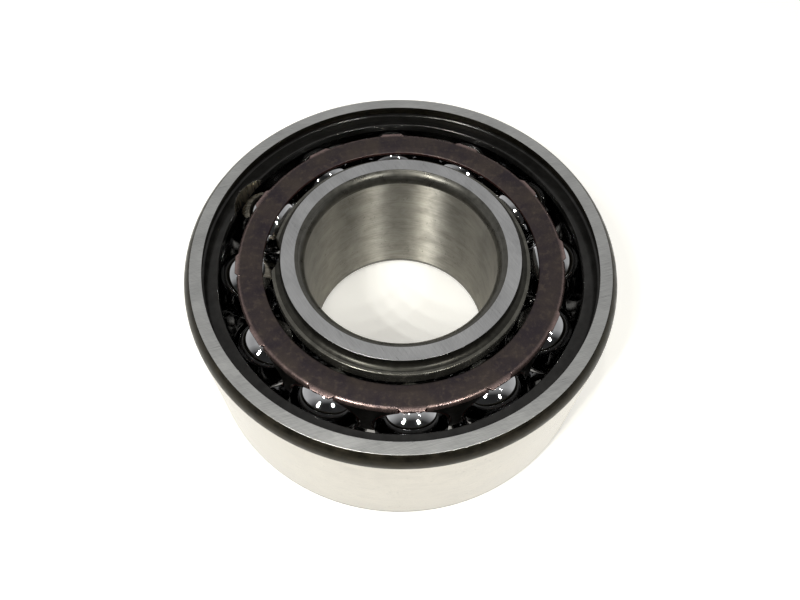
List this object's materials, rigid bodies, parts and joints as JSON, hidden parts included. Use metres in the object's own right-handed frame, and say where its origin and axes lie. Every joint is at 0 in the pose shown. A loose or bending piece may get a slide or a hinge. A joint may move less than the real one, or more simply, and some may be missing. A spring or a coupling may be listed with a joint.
{
  "type": "double row angular contact ball bearing",
  "caption": "Open double-row angular contact ball bearing with filling slots: two grooved rings, two pressed cages and two full rows of balls that roll.",
  "frame": {"origin": "centre of the bearing, on its axis halfway between the faces", "axes": "+Z along the bearing's axis, +X through the first ball of the upper row"},
  "size_m": [0.1, 0.1, 0.0398],
  "materials": {
    "outer_ring_steel": "ground",
    "inner_ring_steel": "ground",
    "cage_steel": "satin, dark brown phosphated",
    "ball_steel": "polished"
  },
  "bodies": {
    "outer_ring": {"outer_ring": "outer_ring_steel"},
    "inner_ring": {"inner_ring": "inner_ring_steel"},
    "cage_upper": {"cage_upper": "cage_steel"},
    "cage_lower": {"cage_lower": "cage_steel"},
    "ball_upper_01": {"ball_upper_01": "ball_steel"},
    "ball_upper_02": {"ball_upper_02": "ball_steel"},
    "ball_upper_03": {"ball_upper_03": "ball_steel"},
    "ball_upper_04": {"ball_upper_04": "ball_steel"},
    "ball_upper_05": {"ball_upper_05": "ball_steel"},
    "ball_upper_06": {"ball_upper_06": "ball_steel"},
    "ball_upper_07": {"ball_upper_07": "ball_steel"},
    "ball_upper_08": {"ball_upper_08": "ball_steel"},
    "ball_upper_09": {"ball_upper_09": "ball_steel"},
    "ball_upper_10": {"ball_upper_10": "ball_steel"},
    "ball_upper_11": {"ball_upper_11": "ball_steel"},
    "ball_upper_12": {"ball_upper_12": "ball_steel"},
    "ball_lower_01": {"ball_lower_01": "ball_steel"},
    "ball_lower_02": {"ball_lower_02": "ball_steel"},
    "ball_lower_03": {"ball_lower_03": "ball_steel"},
    "ball_lower_04": {"ball_lower_04": "ball_steel"},
    "ball_lower_05": {"ball_lower_05": "ball_steel"},
    "ball_lower_06": {"ball_lower_06": "ball_steel"},
    "ball_lower_07": {"ball_lower_07": "ball_steel"},
    "ball_lower_08": {"ball_lower_08": "ball_steel"},
    "ball_lower_09": {"ball_lower_09": "ball_steel"},
    "ball_lower_10": {"ball_lower_10": "ball_steel"},
    "ball_lower_11": {"ball_lower_11": "ball_steel"},
    "ball_lower_12": {"ball_lower_12": "ball_steel"}
  },
  "joints": [
    {"name": "inner_ring_spin", "type": "hinge", "parent": "outer_ring", "child": "inner_ring", "pos_m": [0, 0, 0], "axis": [0, 0, 1], "continuous": true},
    {"name": "cage_upper_spin", "type": "hinge", "parent": "outer_ring", "child": "cage_upper", "pos_m": [0, 0, 0.0086], "axis": [0, 0, 1], "continuous": true},
    {"name": "cage_lower_spin", "type": "hinge", "parent": "outer_ring", "child": "cage_lower", "pos_m": [0, 0, -0.0086], "axis": [0, 0, 1], "continuous": true},
    {"name": "ball_upper_01_spin", "type": "hinge", "parent": "cage_upper", "child": "ball_upper_01", "pos_m": [0.0364, 0, 0.0086], "axis": [0.5, 0, 0.866], "continuous": true},
    {"name": "ball_upper_02_spin", "type": "hinge", "parent": "cage_upper", "child": "ball_upper_02", "pos_m": [0.03152, 0.0182, 0.0086], "axis": [0.433, 0.25, 0.866], "continuous": true},
    {"name": "ball_upper_03_spin", "type": "hinge", "parent": "cage_upper", "child": "ball_upper_03", "pos_m": [0.0182, 0.03152, 0.0086], "axis": [0.25, 0.433, 0.866], "continuous": true},
    {"name": "ball_upper_04_spin", "type": "hinge", "parent": "cage_upper", "child": "ball_upper_04", "pos_m": [0, 0.0364, 0.0086], "axis": [0, 0.5, 0.866], "continuous": true},
    {"name": "ball_upper_05_spin", "type": "hinge", "parent": "cage_upper", "child": "ball_upper_05", "pos_m": [-0.0182, 0.03152, 0.0086], "axis": [-0.25, 0.433, 0.866], "continuous": true},
    {"name": "ball_upper_06_spin", "type": "hinge", "parent": "cage_upper", "child": "ball_upper_06", "pos_m": [-0.03152, 0.0182, 0.0086], "axis": [-0.433, 0.25, 0.866], "continuous": true},
    {"name": "ball_upper_07_spin", "type": "hinge", "parent": "cage_upper", "child": "ball_upper_07", "pos_m": [-0.0364, 0, 0.0086], "axis": [-0.5, 0, 0.866], "continuous": true},
    {"name": "ball_upper_08_spin", "type": "hinge", "parent": "cage_upper", "child": "ball_upper_08", "pos_m": [-0.03152, -0.0182, 0.0086], "axis": [-0.433, -0.25, 0.866], "continuous": true},
    {"name": "ball_upper_09_spin", "type": "hinge", "parent": "cage_upper", "child": "ball_upper_09", "pos_m": [-0.0182, -0.03152, 0.0086], "axis": [-0.25, -0.433, 0.866], "continuous": true},
    {"name": "ball_upper_10_spin", "type": "hinge", "parent": "cage_upper", "child": "ball_upper_10", "pos_m": [0, -0.0364, 0.0086], "axis": [0, -0.5, 0.866], "continuous": true},
    {"name": "ball_upper_11_spin", "type": "hinge", "parent": "cage_upper", "child": "ball_upper_11", "pos_m": [0.0182, -0.03152, 0.0086], "axis": [0.25, -0.433, 0.866], "continuous": true},
    {"name": "ball_upper_12_spin", "type": "hinge", "parent": "cage_upper", "child": "ball_upper_12", "pos_m": [0.03152, -0.0182, 0.0086], "axis": [0.433, -0.25, 0.866], "continuous": true},
    {"name": "ball_lower_01_spin", "type": "hinge", "parent": "cage_lower", "child": "ball_lower_01", "pos_m": [0.0364, 0, -0.0086], "axis": [-0.5, 0, 0.866], "continuous": true},
    {"name": "ball_lower_02_spin", "type": "hinge", "parent": "cage_lower", "child": "ball_lower_02", "pos_m": [0.03152, 0.0182, -0.0086], "axis": [-0.433, -0.25, 0.866], "continuous": true},
    {"name": "ball_lower_03_spin", "type": "hinge", "parent": "cage_lower", "child": "ball_lower_03", "pos_m": [0.0182, 0.03152, -0.0086], "axis": [-0.25, -0.433, 0.866], "continuous": true},
    {"name": "ball_lower_04_spin", "type": "hinge", "parent": "cage_lower", "child": "ball_lower_04", "pos_m": [0, 0.0364, -0.0086], "axis": [0, -0.5, 0.866], "continuous": true},
    {"name": "ball_lower_05_spin", "type": "hinge", "parent": "cage_lower", "child": "ball_lower_05", "pos_m": [-0.0182, 0.03152, -0.0086], "axis": [0.25, -0.433, 0.866], "continuous": true},
    {"name": "ball_lower_06_spin", "type": "hinge", "parent": "cage_lower", "child": "ball_lower_06", "pos_m": [-0.03152, 0.0182, -0.0086], "axis": [0.433, -0.25, 0.866], "continuous": true},
    {"name": "ball_lower_07_spin", "type": "hinge", "parent": "cage_lower", "child": "ball_lower_07", "pos_m": [-0.0364, 0, -0.0086], "axis": [0.5, 0, 0.866], "continuous": true},
    {"name": "ball_lower_08_spin", "type": "hinge", "parent": "cage_lower", "child": "ball_lower_08", "pos_m": [-0.03152, -0.0182, -0.0086], "axis": [0.433, 0.25, 0.866], "continuous": true},
    {"name": "ball_lower_09_spin", "type": "hinge", "parent": "cage_lower", "child": "ball_lower_09", "pos_m": [-0.0182, -0.03152, -0.0086], "axis": [0.25, 0.433, 0.866], "continuous": true},
    {"name": "ball_lower_10_spin", "type": "hinge", "parent": "cage_lower", "child": "ball_lower_10", "pos_m": [0, -0.0364, -0.0086], "axis": [0, 0.5, 0.866], "continuous": true},
    {"name": "ball_lower_11_spin", "type": "hinge", "parent": "cage_lower", "child": "ball_lower_11", "pos_m": [0.0182, -0.03152, -0.0086], "axis": [-0.25, 0.433, 0.866], "continuous": true},
    {"name": "ball_lower_12_spin", "type": "hinge", "parent": "cage_lower", "child": "ball_lower_12", "pos_m": [0.03152, -0.0182, -0.0086], "axis": [-0.433, 0.25, 0.866], "continuous": true}
  ],
  "couplings": [
    {"joint": "cage_upper_spin", "follows": "inner_ring_spin", "ratio": 0.40085},
    {"joint": "cage_lower_spin", "follows": "inner_ring_spin", "ratio": 0.40085},
    {"joint": "ball_upper_01_spin", "follows": "inner_ring_spin", "ratio": -2.0978},
    {"joint": "ball_upper_02_spin", "follows": "inner_ring_spin", "ratio": -2.0978},
    {"joint": "ball_upper_03_spin", "follows": "inner_ring_spin", "ratio": -2.0978},
    {"joint": "ball_upper_04_spin", "follows": "inner_ring_spin", "ratio": -2.0978},
    {"joint": "ball_upper_05_spin", "follows": "inner_ring_spin", "ratio": -2.0978},
    {"joint": "ball_upper_06_spin", "follows": "inner_ring_spin", "ratio": -2.0978},
    {"joint": "ball_upper_07_spin", "follows": "inner_ring_spin", "ratio": -2.0978},
    {"joint": "ball_upper_08_spin", "follows": "inner_ring_spin", "ratio": -2.0978},
    {"joint": "ball_upper_09_spin", "follows": "inner_ring_spin", "ratio": -2.0978},
    {"joint": "ball_upper_10_spin", "follows": "inner_ring_spin", "ratio": -2.0978},
    {"joint": "ball_upper_11_spin", "follows": "inner_ring_spin", "ratio": -2.0978},
    {"joint": "ball_upper_12_spin", "follows": "inner_ring_spin", "ratio": -2.0978},
    {"joint": "ball_lower_01_spin", "follows": "inner_ring_spin", "ratio": -2.0978},
    {"joint": "ball_lower_02_spin", "follows": "inner_ring_spin", "ratio": -2.0978},
    {"joint": "ball_lower_03_spin", "follows": "inner_ring_spin", "ratio": -2.0978},
    {"joint": "ball_lower_04_spin", "follows": "inner_ring_spin", "ratio": -2.0978},
    {"joint": "ball_lower_05_spin", "follows": "inner_ring_spin", "ratio": -2.0978},
    {"joint": "ball_lower_06_spin", "follows": "inner_ring_spin", "ratio": -2.0978},
    {"joint": "ball_lower_07_spin", "follows": "inner_ring_spin", "ratio": -2.0978},
    {"joint": "ball_lower_08_spin", "follows": "inner_ring_spin", "ratio": -2.0978},
    {"joint": "ball_lower_09_spin", "follows": "inner_ring_spin", "ratio": -2.0978},
    {"joint": "ball_lower_10_spin", "follows": "inner_ring_spin", "ratio": -2.0978},
    {"joint": "ball_lower_11_spin", "follows": "inner_ring_spin", "ratio": -2.0978},
    {"joint": "ball_lower_12_spin", "follows": "inner_ring_spin", "ratio": -2.0978}
  ]
}
